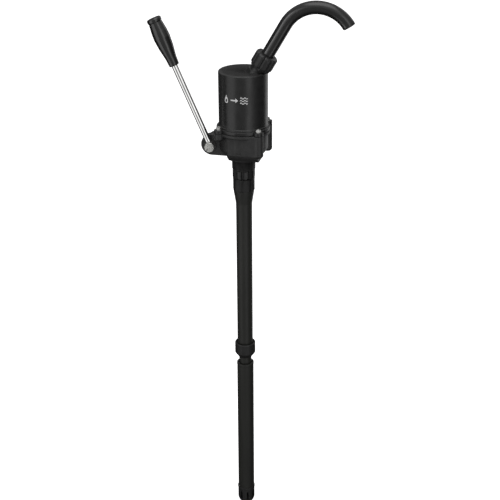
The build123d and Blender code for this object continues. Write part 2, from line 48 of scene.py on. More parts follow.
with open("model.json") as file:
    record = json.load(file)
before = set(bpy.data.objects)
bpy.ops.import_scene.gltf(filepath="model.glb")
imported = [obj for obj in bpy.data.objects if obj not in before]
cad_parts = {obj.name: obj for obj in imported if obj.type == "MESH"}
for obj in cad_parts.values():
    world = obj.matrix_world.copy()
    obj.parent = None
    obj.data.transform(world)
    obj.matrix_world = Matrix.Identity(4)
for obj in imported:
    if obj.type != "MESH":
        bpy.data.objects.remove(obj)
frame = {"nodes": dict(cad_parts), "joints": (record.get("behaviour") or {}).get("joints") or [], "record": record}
cad_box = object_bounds()
MM = 0.001


def node_box(node):
    """A node's lowest and highest corners, in millimetres."""
    low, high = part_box(node)
    return [value / MM for value in low], [value / MM for value in high]


def joint(name):
    """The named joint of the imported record."""
    for item in frame["joints"]:
        if item["name"] == name:
            return item
    raise ValueError(name)


# --- driving dimensions, read from the frame ---
GASKET_LOW, GASKET_HIGH = node_box("cylinder_gasket")
WASHER_LOW, WASHER_HIGH = node_box("flange_washers")
SHAFT_LOW, SHAFT_HIGH = node_box("lever_shaft")
ROD_LOW, ROD_HIGH = node_box("lever_rod")
TUBE_NUT_LOW, TUBE_NUT_HIGH = node_box("tube_nut")
COLLAR_LOW, COLLAR_HIGH = node_box("tube_collar")
LOWER_LOW, LOWER_HIGH = node_box("lower_tube")
SCREW_TOP_Z = node_box("flange_screws")[1][2]
UPPER_BOTTOM_Z = node_box("upper_tube")[0][2]
FOOT_BOTTOM_Z = node_box("foot_strainer")[0][2]
SWIVEL = joint("spout_swivel")

# --- cylinder and its flange ---
JOINT_Z = GASKET_LOW[2]
FLANGE_LOW_Z = GASKET_HIGH[2]
FLANGE_TOP_Z = WASHER_LOW[2]
OUTLET_X, _, TOP_Z = [value / MM for value in SWIVEL["pos_m"]]
CYL_R = 49.3
SHOULDER_R = 3.4
FLAT_TOP_R = CYL_R - 4.5
BEAD_R = 50.6
BEAD_TOP_Z = 78.0
FLANGE_R = 54.0
FLANGE_STEP = 3.0
FLANGE_STEP_H = 1.1
EAR_R = 9.8
EAR_OFFSET = WASHER_HIGH[0] - 6.0
EARS = [(sx * EAR_OFFSET, sy * EAR_OFFSET) for sx in (-1, 1) for sy in (-1, 1)]
RECESS_R = 46.3
RECESS_DEPTH = 1.2
OUTLET_R = 17.7
OUTLET_RING_R = 20.4
OUTLET_ROOT_S = -14.0
OUTLET_TOP_S = 29.0
SCREW_FLATS = 9.2
SCREW_CORNER_R = 5.3
WASHER_R = 5.7

# --- lower housing ---
SEAT_Z = 6.0
NECK_BOTTOM_Z = TUBE_NUT_HIGH[2]
BOWL_SEAT_R = 33.5
BLOCK_LEFT_X = -21.0
BLOCK_FRONT_Y = -48.7
BLOCK_BOTTOM_Z = 11.0
SHAFT_X = (SHAFT_LOW[0] + SHAFT_HIGH[0]) / 2
SHAFT_Z = (SHAFT_LOW[2] + SHAFT_HIGH[2]) / 2
BOSS_R = 21.8
BOSS_FRONT_Y = -23.0
BOSS_BACK_Y = -8.0
BOSS_TOP_Z = 53.0
TUNNEL_R = 17.0
TUNNEL_BACK_Y = 18.0
REAR_COLUMN_Z = 11.0
FRONT_RIGHT_COLUMN_Z = 22.0
FRONT_LEFT_LUG_Z = 52.0
VOXEL = 0.8
THREAD_PITCH = 2.309
THREAD_DEPTH = 1.3
THREAD_R = 23.9
THREAD_BORE_R = 20.5

# --- lever ---
LEVER_Y = (ROD_LOW[1] + ROD_HIGH[1]) / 2
LEVER_ANGLE = 23.5
SHAFT_FACE_Y = SHAFT_LOW[1]
SHAFT_HEAD_L = 18.5
SHAFT_HEAD_R = 10.4
ROD_R = (ROD_HIGH[1] - ROD_LOW[1]) / 2
ROD_START = -8.0
GRIP_START = 176.0
GRIP_END = 276.5
SEAM = 0.18

# --- union nut and spout, along the outlet ---
OUTLET_TILT = atan2(SWIVEL["axis"][0], SWIVEL["axis"][2])
NUT_LOW, NUT_HIGH = 8.8, 40.5
NUT_R = 22.3
NUT_SKIRT_R = 20.2
NUT_BORE_R = 18.2
NUT_LIP_R = 13.3
NUT_LOBES = 8
NUT_GROOVE = 2.6
SPOUT_START = 33.0
SPOUT_R = 12.9
SPOUT_WALL = 2.0
SPOUT_STRAIGHT = 110.2
SPOUT_BEND_R = 72.0
SPOUT_BEND = 118.5

# --- suction tube ---
TUBE_NUT_R = 22.9
TUBE_NUT_BORE_R = 16.4
TUBE_NUT_RIBS = 12
TUBE_NUT_GROOVE = 3.0
BELL_R = 22.4
BELL_TOP_Z = TUBE_NUT_LOW[2] - 0.1
BELL_BOTTOM_Z = -62.7
UPPER_TUBE_R = 16.6
UPPER_BORE_R = 13.7
COLLAR_R = 22.0
COLLAR_BORE_R = 13.3
COLLAR_BAND_Z = -441.0
LOWER_TUBE_R = 17.9
LOWER_BORE_R = 15.6
LOWER_RIM_R = 18.3
FOOT_R = 18.6
FOOT_BORE_R = 13.6
FOOT_SPIGOT_R = 15.4
FOOT_SLOTS = 8

# --- printed sign ---
SIGN_Z = 139.5
SIGN_START = -24.0
SIGN_LIFT = 0.12
SIGN_ROOT = 0.3

# --- light and camera ---
CAMERA_AZIMUTH = 14.0
WORLD_FRONT = (0.04, 0.29)
WORLD_ABOVE = (0.0, 0.35)
SOFTBOX_DISTANCE_M = 1.7
SOFTBOX_HEIGHT_M = 2.6

WORLD = Matrix.Identity(4)
QUARTER = Matrix.Rotation(radians(90), 4, "X")
OUTLET = Matrix.Translation((OUTLET_X, 0, TOP_Z)) @ Matrix.Rotation(OUTLET_TILT, 4, "Y")
LEVER = Matrix.Translation((SHAFT_X, LEVER_Y, SHAFT_Z)) @ Matrix.Rotation(radians(-LEVER_ANGLE), 4, "Y")
SHAFT = Matrix.Translation((SHAFT_X, SHAFT_FACE_Y, SHAFT_Z)) @ QUARTER


# --- mesh building ---

def new_object(name, mesh, smooth_angle=34.0):
    """A scene object from a mesh, shaded smooth up to an angle."""
    mesh.polygons.foreach_set("use_smooth", [True] * len(mesh.polygons))
    mesh.set_sharp_from_angle(angle=radians(smooth_angle))
    item = bpy.data.objects.new(name, mesh)
    bpy.context.scene.collection.objects.link(item)
    return item


def mesh_from(name, points, faces, place=WORLD):
    """A mesh from points in millimetres, placed by a matrix."""
    mesh = bpy.data.meshes.new(name)
    mesh.from_pydata([(place @ Vector(point)) * MM for point in points], [], faces)
    mesh.validate()
    work = bmesh.new()
    work.from_mesh(mesh)
    bmesh.ops.recalc_face_normals(work, faces=work.faces)
    work.to_mesh(mesh)
    work.free()
    return mesh


def rounded(corners, steps=4):
    """An open outline of (radius, height) points with each corner's own rounding radius."""
    outline = [Vector(corners[0][:2])]
    for before, here, after in zip(corners, corners[1:], corners[2:]):
        point = Vector(here[:2])
        radius = here[2] if len(here) > 2 else 0.0
        back = Vector(before[:2]) - point
        ahead = Vector(after[:2]) - point
        if radius <= 0 or back.length < 1e-6 or ahead.length < 1e-6:
            outline.append(point)
            continue
        angle = back.angle(ahead)
        if angle > pi - 0.02:
            outline.append(point)
            continue
        reach = min(radius / tan(angle / 2), back.length * 0.48, ahead.length * 0.48)
        start = point + back.normalized() * reach
        end = point + ahead.normalized() * reach
        for step in range(steps + 1):
            t = step / steps
            outline.append(start * (1 - t) ** 2 + point * 2 * t * (1 - t) + end * t ** 2)
    outline.append(Vector(corners[-1][:2]))
    return [(max(point.x, 0.0), point.y) for point in outline]


def turned(name, corners, place=WORLD, segments=96, closed=False, shape=None):
    """A solid of revolution. An outline that starts and ends on the axis closes itself; closed joins
    its two ends. shape(angle, radius, height) may change a point's radius."""
    outline = rounded(corners)
    points, rows = [], []
    for radius, height in outline:
        if radius < 1e-6:
            rows.append([len(points)] * segments)
            points.append((0, 0, height))
            continue
        row = []
        for index in range(segments):
            angle = 2 * pi * index / segments
            reach = shape(angle, radius, height) if shape else radius
            row.append(len(points))
            points.append((reach * cos(angle), reach * sin(angle), height))
        rows.append(row)
    faces = []
    pairs = list(zip(rows, rows[1:])) + ([(rows[-1], rows[0])] if closed else [])
    for one, two in pairs:
        for index in range(segments):
            following = (index + 1) % segments
            corner = [one[index], one[following], two[following], two[index]]
            unique = list(dict.fromkeys(corner))
            if len(unique) > 2:
                faces.append(unique)
    return mesh_from(name, points, faces, place)


def tube_of_rows(name, rows, place=WORLD):
    """A closed surface through rings of points, each joined to the next and the last to the first."""
    count, segments = len(rows), len(rows[0])
    faces = []
    for row in range(count):
        first, second = row * segments, (row + 1) % count * segments
        for index in range(segments):
            following = (index + 1) % segments
            faces.append((first + index, first + following, second + following, second + index))
    return mesh_from(name, [point for row in rows for point in row], faces, place)


def block_mesh(low, high):
    """A box mesh between two corners."""
    xs, ys, zs = zip(low, high)
    points = [(x, y, z) for x in xs for y in ys for z in zs]
    faces = [(0, 1, 3, 2), (4, 6, 7, 5), (0, 4, 5, 1), (2, 3, 7, 6), (0, 2, 6, 4), (1, 5, 7, 3)]
    return mesh_from("block", points, faces)


def extruded(profile, left, right, place=WORLD):
    """A bar along X with a given outline of (depth, height) points."""
    points = [(x, y, z) for x in (left, right) for y, z in profile]
    count = len(profile)
    faces = [tuple(range(count)), tuple(range(2 * count - 1, count - 1, -1))]
    faces += [(i, (i + 1) % count, count + (i + 1) % count, count + i) for i in range(count)]
    return mesh_from("bar", points, faces, place)


def join(name, meshes):
    """One mesh holding several closed meshes side by side."""
    work = bmesh.new()
    for mesh in meshes:
        work.from_mesh(mesh)
    whole = bpy.data.meshes.new(name)
    work.to_mesh(whole)
    work.free()
    return whole


def combined(name, base, tools, operation="UNION"):
    """The exact union or difference of a mesh with others."""
    current = base
    for tool in tools:
        first = bpy.data.objects.new("work", current)
        second = bpy.data.objects.new("tool", tool)
        for item in (first, second):
            bpy.context.scene.collection.objects.link(item)
        change = first.modifiers.new("combine", "BOOLEAN")
        change.operation = operation
        change.solver = "EXACT"
        change.object = second
        current = evaluated(first)
        for item in (first, second):
            bpy.data.objects.remove(item)
    current.name = name
    return current


def evaluated(item):
    """An object's mesh with its modifiers applied."""
    graph = bpy.context.evaluated_depsgraph_get()
    graph.update()
    return bpy.data.meshes.new_from_object(item.evaluated_get(graph), depsgraph=graph)


def softened(name, mesh, voxel, rounds):
    """A mesh remeshed and smoothed, so that its edges become moulded fillets."""
    item = bpy.data.objects.new("work", mesh)
    bpy.context.scene.collection.objects.link(item)
    remesh = item.modifiers.new("voxels", "REMESH")
    remesh.mode = "VOXEL"
    remesh.voxel_size = voxel * MM
    smooth = item.modifiers.new("smooth", "SMOOTH")
    smooth.factor = 0.5
    smooth.iterations = rounds
    result = evaluated(item)
    bpy.data.objects.remove(item)
    result.name = name
    return result


def finish_piece(item, body, material, replaced=()):
    """Material, body and replaced nodes of a piece."""
    item.data.materials.clear()
    item.data.materials.append(material)
    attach(item, body)
    if replaced:
        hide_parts(*replaced)


# --- materials ---

def shader(name, colour, roughness, **inputs):
    """A material with one Principled shader and its constant values."""
    material = bpy.data.materials.new(name)
    material.use_nodes = True
    principled = material.node_tree.nodes["Principled BSDF"]
    principled.inputs["Base Color"].default_value = (*colour, 1)
    principled.inputs["Roughness"].default_value = roughness
    for label, value in inputs.items():
        principled.inputs[label.replace("_", " ")].default_value = value
    return material, material.node_tree, principled


def noise(tree, scale, detail=4.0, stretch=(1, 1, 1)):
    """A noise texture in object coordinates; scale is features per metre."""
    place = tree.nodes.new("ShaderNodeTexCoord")
    mapping = tree.nodes.new("ShaderNodeMapping")
    mapping.inputs["Scale"].default_value = stretch
    texture = tree.nodes.new("ShaderNodeTexNoise")
    texture.inputs["Scale"].default_value = scale
    texture.inputs["Detail"].default_value = detail
    tree.links.new(place.outputs["Object"], mapping.inputs["Vector"])
    tree.links.new(mapping.outputs["Vector"], texture.inputs["Vector"])
    return texture.outputs["Fac"]


def ranged(tree, value, low, high):
    """A 0 to 1 value spread over another range."""
    node = tree.nodes.new("ShaderNodeMapRange")
    node.inputs["From Min"].default_value = 0.3
    node.inputs["From Max"].default_value = 0.7
    node.inputs["To Min"].default_value = low
    node.inputs["To Max"].default_value = high
    tree.links.new(value, node.inputs["Value"])
    return node.outputs["Result"]


def tinted(tree, value, dark, light):
    """A colour between two, by a 0 to 1 value."""
    ramp = tree.nodes.new("ShaderNodeValToRGB")
    ramp.color_ramp.elements[0].position = 0.3
    ramp.color_ramp.elements[0].color = (*dark, 1)
    ramp.color_ramp.elements[1].position = 0.7
    ramp.color_ramp.elements[1].color = (*light, 1)
    tree.links.new(value, ramp.inputs["Fac"])
    return ramp.outputs["Color"]


def bumped(tree, principled, heights):
    """Bumps from several (value, depth in metres) pairs, one after the other."""
    normal = None
    for value, depth in heights:
        bump = tree.nodes.new("ShaderNodeBump")
        bump.inputs["Strength"].default_value = 1.0
        bump.inputs["Distance"].default_value = depth
        tree.links.new(value, bump.inputs["Height"])
        if normal:
            tree.links.new(normal, bump.inputs["Normal"])
        normal = bump.outputs["Normal"]
    tree.links.new(normal, principled.inputs["Normal"])


def plastic(name, tone, rough, grain, grain_depth, wave_depth=0.0, tint=(1, 1, 1), stretch=(1, 1, 1),
            **constants):
    """Black plastic: slightly mottled colour, uneven gloss, a fine moulded or drawn grain."""
    base = tuple(tone * part for part in tint)
    material, tree, principled = shader(name, base, rough, **constants)
    mottle = noise(tree, 90.0, 5.0, stretch)
    dark = tuple(0.82 * part for part in base)
    light = tuple(1.22 * part for part in base)
    tree.links.new(tinted(tree, mottle, dark, light), principled.inputs["Base Color"])
    handling = noise(tree, 35.0, 6.0, stretch)
    tree.links.new(ranged(tree, handling, rough - 0.05, rough + 0.07), principled.inputs["Roughness"])
    heights = [(noise(tree, grain, 2.0, stretch), grain_depth)]
    if wave_depth:
        heights.append((noise(tree, 22.0, 1.0, stretch), wave_depth))
    bumped(tree, principled, heights)
    return material


def metal(name, colour, rough, streak_scale, stretch, depth):
    """Bright metal with drawn or turned streaks."""
    material, tree, principled = shader(name, colour, rough, Metallic=1.0)
    streaks = noise(tree, streak_scale, 3.0, stretch)
    tree.links.new(ranged(tree, streaks, rough * 0.75, rough * 1.5), principled.inputs["Roughness"])
    dull = noise(tree, 60.0, 4.0)
    shade = tuple(0.86 * part for part in colour)
    tree.links.new(tinted(tree, dull, shade, colour), principled.inputs["Base Color"])
    bumped(tree, principled, [(streaks, depth)])
    return material


HOUSING = plastic("housing_plastic", 0.020, 0.44, 1500.0, 0.00010)
BARREL = plastic("cylinder_plastic", 0.012, 0.30, 1900.0, 0.00003, 0.0003)
TUBE = plastic("tube_plastic", 0.016, 0.48, 900.0, 0.00008, tint=(1.0, 1.03, 0.88), stretch=(1, 1, 0.08))
NECK = plastic("neck_plastic", 0.007, 0.40, 900.0, 0.00008, Specular_IOR_Level=0.4)
NUT = plastic("nut_plastic", 0.015, 0.40, 1500.0, 0.00008)
SPOUT = plastic("spout_plastic", 0.009, 0.21, 1200.0, 0.00004, Specular_IOR_Level=0.7)
GRIP = plastic("grip_plastic", 0.006, 0.19, 1700.0, 0.00003, 0.0002, Specular_IOR_Level=0.95)
RUBBER = plastic("seal_rubber", 0.012, 0.62, 1800.0, 0.00008)
CHROME = metal("chromed_rod", (0.80, 0.80, 0.79), 0.08, 700.0, (1, 1, 0.03), 0.00002)
ZINC = metal("zinc_steel", (0.66, 0.66, 0.64), 0.28, 1200.0, (1, 1, 1), 0.00003)
STAINLESS = metal("stainless_steel", (0.60, 0.60, 0.60), 0.25, 900.0, (1, 1, 1), 0.00002)
BEARING = plastic("bearing_plastic", 0.62, 0.40, 1200.0, 0.00005, tint=(1, 0.98, 0.92))


def turned_steel():
    """Zinc-plated steel with the fine rings of a turned face around the shaft's axis."""
    colour = (0.50, 0.50, 0.48)
    material, tree, principled = shader("turned_steel", colour, 0.22, Metallic=1.0, Anisotropic=0.6)
    place = tree.nodes.new("ShaderNodeTexCoord")
    shift = tree.nodes.new("ShaderNodeMapping")
    shift.inputs["Location"].default_value = (-SHAFT_X * MM, 0, -SHAFT_Z * MM)
    rings = tree.nodes.new("ShaderNodeTexWave")
    rings.wave_type = "RINGS"
    rings.rings_direction = "Y"
    rings.inputs["Scale"].default_value = 420.0
    rings.inputs["Distortion"].default_value = 0.6
    tree.links.new(place.outputs["Object"], shift.inputs["Vector"])
    tree.links.new(shift.outputs["Vector"], rings.inputs["Vector"])
    bumped(tree, principled, [(rings.outputs["Fac"], 0.00002)])
    tree.links.new(ranged(tree, noise(tree, 300.0), 0.2, 0.36), principled.inputs["Roughness"])
    return material


def white_ink():
    """White pad print, very slightly uneven."""
    material, tree, principled = shader("white_print", (0.80, 0.80, 0.80), 0.45)
    patches = noise(tree, 400.0)
    shade = tinted(tree, patches, (0.76, 0.76, 0.76), (0.83, 0.83, 0.83))
    tree.links.new(shade, principled.inputs["Base Color"])
    return material


TURNED = turned_steel()
INK = white_ink()


# --- pump head ---

def barrel_mesh():
    """The barrel with its rounded shoulder, its bead and the bolt flange above a narrow step."""
    step_r = FLANGE_R - FLANGE_STEP
    step_z = FLANGE_LOW_Z + FLANGE_STEP_H
    return turned("barrel", [
        (0, FLANGE_LOW_Z), (step_r, FLANGE_LOW_Z), (step_r, step_z), (FLANGE_R, step_z, 0.3),
        (FLANGE_R, FLANGE_TOP_Z, 1.2), (BEAD_R, FLANGE_TOP_Z + 0.2, 0.4), (BEAD_R, BEAD_TOP_Z, 0.6),
        (CYL_R, BEAD_TOP_Z + 1.4, 0.8), (CYL_R, TOP_Z, SHOULDER_R), (FLAT_TOP_R, TOP_Z), (0, TOP_Z),
    ], segments=160)


def ear_mesh(x, y):
    """One bolt ear of the cylinder's flange."""
    outline = [(0, FLANGE_LOW_Z), (EAR_R, FLANGE_LOW_Z, 0.6), (EAR_R, FLANGE_TOP_Z, 1.2), (0, FLANGE_TOP_Z)]
    return turned("ear", outline, Matrix.Translation((x, y, 0)), 48)


def outlet_mesh():
    """The tilted outlet neck and the ring at its root."""
    return turned("outlet", [
        (0, OUTLET_ROOT_S), (OUTLET_RING_R, OUTLET_ROOT_S), (OUTLET_RING_R, 0.6, 1.0), (OUTLET_R, 1.0, 0.5),
        (OUTLET_R, OUTLET_TOP_S, 0.6), (0, OUTLET_TOP_S),
    ], OUTLET, 96)


def top_recess():
    """The shallow half-round recess at the back of the cylinder's top, clear of the outlet."""
    floor, above, clear = TOP_Z - RECESS_DEPTH, TOP_Z + 5, OUTLET_RING_R + 0.8
    step = turned("step", [(0, floor), (RECESS_R, floor), (RECESS_R, above), (0, above)], segments=128)
    front = block_mesh((-60, -60, TOP_Z - 5), (60, 0, TOP_Z + 10))
    keep = turned("keep", [(0, -30.0), (clear, -30.0), (clear, 40.0), (0, 40.0)], OUTLET, 64)
    return combined("recess", step, [front, keep], "DIFFERENCE")


def cylinder_mesh():
    """The moulded cylinder: barrel, ears and outlet, less the recess in its top."""
    ears = [ear_mesh(x, y) for x, y in EARS]
    body = combined("cylinder", barrel_mesh(), ears + [outlet_mesh()])
    return combined("cylinder_body", body, [top_recess()], "DIFFERENCE")


def bowl_mesh():
    """The round bowl below the joint, drawn in towards its seat on the drum."""
    return turned("bowl", [
        (0, JOINT_Z), (FLANGE_R, JOINT_Z), (FLANGE_R, JOINT_Z - 6.0), (CYL_R, JOINT_Z - 7.0),
        (CYL_R, 29.0, 8.0), (45.0, 22.0, 4.0), (37.5, 15.5, 4.0), (34.0, 9.5, 2.0),
        (BOWL_SEAT_R, SEAT_Z, 1.0), (0, SEAT_Z),
    ], segments=128)


def front_block_mesh():
    """The flat-faced block at the front, with its rounded lower edge."""
    profile = [
        (BLOCK_FRONT_Y, JOINT_Z), (BLOCK_FRONT_Y, 25.0), (BLOCK_FRONT_Y + 2.2, 19.5),
        (BLOCK_FRONT_Y + 7.5, 12.5), (BLOCK_FRONT_Y + 11.0, BLOCK_BOTTOM_Z), (0, BLOCK_BOTTOM_Z),
        (0, JOINT_Z),
    ]
    return extruded(profile, BLOCK_LEFT_X, EAR_OFFSET)


def shaft_disc(name, radius, back_y, length):
    """A disc round the lever shaft's axis, from its back face forwards."""
    place = Matrix.Translation((SHAFT_X, back_y, SHAFT_Z)) @ QUARTER
    return turned(name, [(0, 0), (radius, 0), (radius, length), (0, length)], place, 96)


def shaft_boss_meshes():
    """The shaft's bearing boss and the tunnel behind it, each with the web that ties it to the bowl."""
    return [
        shaft_disc("boss", BOSS_R, BOSS_BACK_Y, BOSS_BACK_Y - BOSS_FRONT_Y),
        block_mesh((SHAFT_X, BOSS_FRONT_Y, SHAFT_Z - BOSS_R), (0, BOSS_BACK_Y, BOSS_TOP_Z)),
        shaft_disc("tunnel", TUNNEL_R, TUNNEL_BACK_Y, 30.0),
        block_mesh((SHAFT_X, -9.0, SHAFT_Z - TUNNEL_R), (0, TUNNEL_BACK_Y, SHAFT_Z + TUNNEL_R)),
    ]


def column_bottom(x, y):
    """The height that the ear column at x, y reaches down to."""
    if y > 0:
        return REAR_COLUMN_Z
    return FRONT_LEFT_LUG_Z if x < 0 else FRONT_RIGHT_COLUMN_Z


def column_mesh(x, y):
    """One ear column of the housing, with a tapered lower end."""
    bottom = column_bottom(x, y)
    outline = [(0, bottom), (EAR_R - 3.0, bottom), (EAR_R, bottom + 4.0), (EAR_R, JOINT_Z), (0, JOINT_Z)]
    return turned("column", outline, Matrix.Translation((x, y, 0)), 48)


def housing_mesh():
    """The lower housing: bowl, flat front block, shaft boss and ear columns, as one moulding."""
    tools = [front_block_mesh()] + shaft_boss_meshes() + [column_mesh(x, y) for x, y in EARS]
    return softened("housing_body", combined("housing", bowl_mesh(), tools), VOXEL, 2)


def level_ring(radii, height):
    """A level ring of points, from the radius at each step of one turn."""
    ring = []
    for index, radius in enumerate(radii):
        turn = index / len(radii)
        ring.append((radius * cos(2 * pi * turn), radius * sin(2 * pi * turn), height))
    return ring


def thread_radius(turn, height, fullness):
    """The thread's radius at a part of a turn and a height; fullness fades the ridge out at its ends."""
    ridge = 0.5 + 0.5 * cos(2 * pi * ((height / THREAD_PITCH - turn) % 1.0))
    return THREAD_R - THREAD_DEPTH * (1 - ridge ** 0.8 * fullness)


def thread_mesh():
    """The neck's male pipe thread: a helical ridge with tapered ends, round an open bore."""
    low, high = NECK_BOTTOM_Z + 0.4, SEAT_Z + 0.2
    segments, per_pitch, taper, plain = 96, 8, 1.6, 3.0
    count = ceil((high - low) / THREAD_PITCH * per_pitch)
    rows = []
    for row in range(count + 1):
        height = low + (high - low) * row / count
        fullness = min(1.0, (height - low) / taper, max(0.0, (high - plain - height) / taper))
        radii = [thread_radius(index / segments, height, fullness) for index in range(segments)]
        rows.append(level_ring(radii, height))
    rows += [level_ring([THREAD_BORE_R] * segments, height) for height in (high, low)]
    return tube_of_rows("neck_thread", rows)


def flat_sided(count, flats):
    """A shape with a number of flat sides and the distance across them, cut from a round outline."""

    def shape(angle, radius, height):
        part = (angle % (2 * pi / count)) - pi / count
        return min(radius, flats / 2 / cos(part))

    return shape


def flange_screw_mesh():
    """Four hexagon heads with a chamfered crown, and their washers."""
    low, high = WASHER_HIGH[2], SCREW_TOP_Z
    outline = [
        (0, low), (SCREW_CORNER_R, low), (SCREW_CORNER_R, high - 0.7), (4.4, high), (3.0, high),
        (2.8, high - 0.3), (0, high - 0.3),
    ]
    washer = [(0, WASHER_LOW[2]), (WASHER_R, WASHER_LOW[2], 0.2), (WASHER_R, low, 0.3), (0, low)]
    heads, rings = [], []
    for index, (x, y) in enumerate(EARS):
        spot = Matrix.Translation((x, y, 0))
        turn = Matrix.Rotation(radians(17 * index), 4, "Z")
        heads.append(turned("head", outline, spot @ turn, 72, shape=flat_sided(6, SCREW_FLATS)))
        rings.append(turned("washer", washer, spot, 48))
    return join("flange_screw_heads", heads), join("flange_washer_rings", rings)


def nut_lobes(angle, radius, height):
    """The union nut's grip: round lobes with narrow grooves between them."""
    if radius < 19.2 or height < 13.0 or height > NUT_HIGH - 0.6:
        return radius
    turn = (angle - pi / NUT_LOBES) * NUT_LOBES / (2 * pi)
    off = abs(turn - round(turn)) * 2
    return radius + 1.0 - NUT_GROOVE * off ** 4


def union_nut_mesh():
    """The union nut: plain skirt, lobed grip, chamfered top and an inner lip."""
    return turned("union_nut_body", [
        (NUT_BORE_R, NUT_LOW), (NUT_SKIRT_R, NUT_LOW, 0.5), (NUT_SKIRT_R, 13.4, 0.4), (20.6, 14.0, 0.3),
        (NUT_R, 14.6, 0.6), (NUT_R, 20.0), (NUT_R, 28.0), (NUT_R, NUT_HIGH - 4.0, 1.6),
        (19.4, NUT_HIGH - 0.6, 1.2), (17.0, NUT_HIGH, 0.8), (NUT_LIP_R, NUT_HIGH),
        (NUT_LIP_R, NUT_HIGH - 6.0), (NUT_BORE_R, NUT_HIGH - 6.6), (NUT_BORE_R, NUT_LOW),
    ], OUTLET, 256, shape=nut_lobes)


def spout_stations():
    """The (across, along, turn) places along the spout's centre line."""
    straight_steps, bend_steps = 6, 72
    stations = [(0.0, SPOUT_START, 0.0)]
    for step in range(1, straight_steps + 1):
        along = SPOUT_START + (SPOUT_STRAIGHT - SPOUT_START) * step / straight_steps
        stations.append((0.0, along, 0.0))
    for step in range(1, bend_steps + 1):
        turn = radians(SPOUT_BEND) * step / bend_steps
        across = SPOUT_BEND_R * (1 - cos(turn))
        stations.append((across, SPOUT_STRAIGHT + SPOUT_BEND_R * sin(turn), turn))
    return stations


def tube_ring(station, radius, segments=64):
    """A ring of points square to the spout's centre line."""
    x, z, turn = station
    ring = []
    for index in range(segments):
        angle = 2 * pi * index / segments
        across = radius * cos(angle)
        ring.append((x + across * cos(turn), radius * sin(angle), z - across * sin(turn)))
    return ring


def spout_mesh():
    """The bent spout tube, open at its end, with its lip slightly eased."""
    stations = spout_stations()
    bore = SPOUT_R - SPOUT_WALL
    rows = [tube_ring(station, SPOUT_R) for station in stations[:-1]]
    rows.append(tube_ring(stations[-1], SPOUT_R - 0.5))
    rows.append(tube_ring(stations[-1], bore + 0.4))
    rows += [tube_ring(station, bore) for station in reversed(stations[:-1])]
    return tube_of_rows("spout_body", rows, OUTLET)


# --- lever ---

def grip_profile():
    """The grip's outline along the rod, from its lower end to its cap."""
    return [
        (ROD_R, GRIP_START), (9.2, GRIP_START, 0.6), (10.2, GRIP_START + 1.4, 1.2),
        (10.6, GRIP_START + 8, 8), (11.1, GRIP_START + 17, 10), (14.6, GRIP_START + 38, 18),
        (16.5, GRIP_START + 59, 16), (15.9, GRIP_START + 72, 12), (13.8, GRIP_END - 12.4, 5),
        (13.3, GRIP_END - 9.4, 1.6), (14.5, GRIP_END - 7.4, 1.0),
        (14.5, GRIP_END - 2.2, 2.0), (12.2, GRIP_END - 0.2, 2.0), (0, GRIP_END),
    ]


def grip_mesh():
    """The crowned hand grip with two fine moulding seams along its sides."""

    def seam(angle, radius, height):
        side = abs(sin(angle))
        return radius + (SEAM if side < 0.035 and radius > 9 else 0.0)

    return turned("hand_grip", grip_profile(), LEVER, 180, shape=seam)


def rod_mesh():
    """The round lever rod."""
    end = GRIP_START + 4.0
    return turned("rod", [(0, ROD_START), (ROD_R, ROD_START, 0.5), (ROD_R, end), (0, end)], LEVER, 64)


def shaft_head_mesh():
    """The shaft's turned outer head with its chamfers."""
    return turned("shaft_head", [
        (0, -SHAFT_HEAD_L), (SHAFT_HEAD_R - 0.8, -SHAFT_HEAD_L), (SHAFT_HEAD_R, 0.8 - SHAFT_HEAD_L, 0.2),
        (SHAFT_HEAD_R, -0.9, 0.3), (SHAFT_HEAD_R - 0.9, 0, 0.3), (0, 0),
    ], SHAFT, 96)


# --- suction tube ---

def tube_nut_mesh():
    """The ribbed nut under the neck."""
    low, high = TUBE_NUT_LOW[2], TUBE_NUT_HIGH[2]

    def ribs(angle, radius, height):
        if radius < 20.5 or height < low + 1.0 or height > high - 1.0:
            return radius
        wave = cos(TUBE_NUT_RIBS * (angle + radians(99)))
        return radius - TUBE_NUT_GROOVE * max(0.0, min(1.0, (-0.1 - wave) * 4.0))

    return turned("tube_nut_body", [
        (TUBE_NUT_BORE_R, high), (22.0, high, 0.5), (TUBE_NUT_R, high - 1.2, 0.3), (TUBE_NUT_R, high - 8.0),
        (TUBE_NUT_R, low + 1.2, 0.3), (22.2, low, 0.5), (TUBE_NUT_BORE_R, low),
    ], segments=288, closed=True, shape=ribs)


def upper_bell_mesh():
    """The upper tube's bell with its spanner flats."""
    octagon = flat_sided(8, 2 * (BELL_R - 0.9))

    def flats(angle, radius, height):
        if radius < 18 or height > BELL_TOP_Z - 3.5:
            return radius
        return octagon(angle, radius, height)

    return turned("upper_bell", [
        (14.0, BELL_TOP_Z), (20.6, BELL_TOP_Z, 0.4), (BELL_R, BELL_TOP_Z - 1.2, 0.4),
        (BELL_R, BELL_TOP_Z - 3.0), (BELL_R, BELL_TOP_Z - 3.8), (BELL_R, BELL_BOTTOM_Z + 1.1, 0.6),
        (BELL_R - 0.8, BELL_BOTTOM_Z), (UPPER_BORE_R, BELL_BOTTOM_Z), (UPPER_BORE_R, -60.0),
        (14.0, BELL_TOP_Z),
    ], segments=160, shape=flats)


def upper_tube_mesh():
    """The upper tube below its bell: a rounded cone and a long plain tube."""
    return turned("upper_tube_body", [
        (UPPER_BORE_R, BELL_BOTTOM_Z), (BELL_R - 0.8, BELL_BOTTOM_Z), (19.2, -78.0, 20.0),
        (UPPER_TUBE_R + 0.3, -92.0, 12.0), (UPPER_TUBE_R, -110.0, 4.0), (UPPER_TUBE_R, UPPER_BOTTOM_Z),
        (UPPER_BORE_R, UPPER_BOTTOM_Z), (UPPER_BORE_R, BELL_BOTTOM_Z),
    ], segments=128)


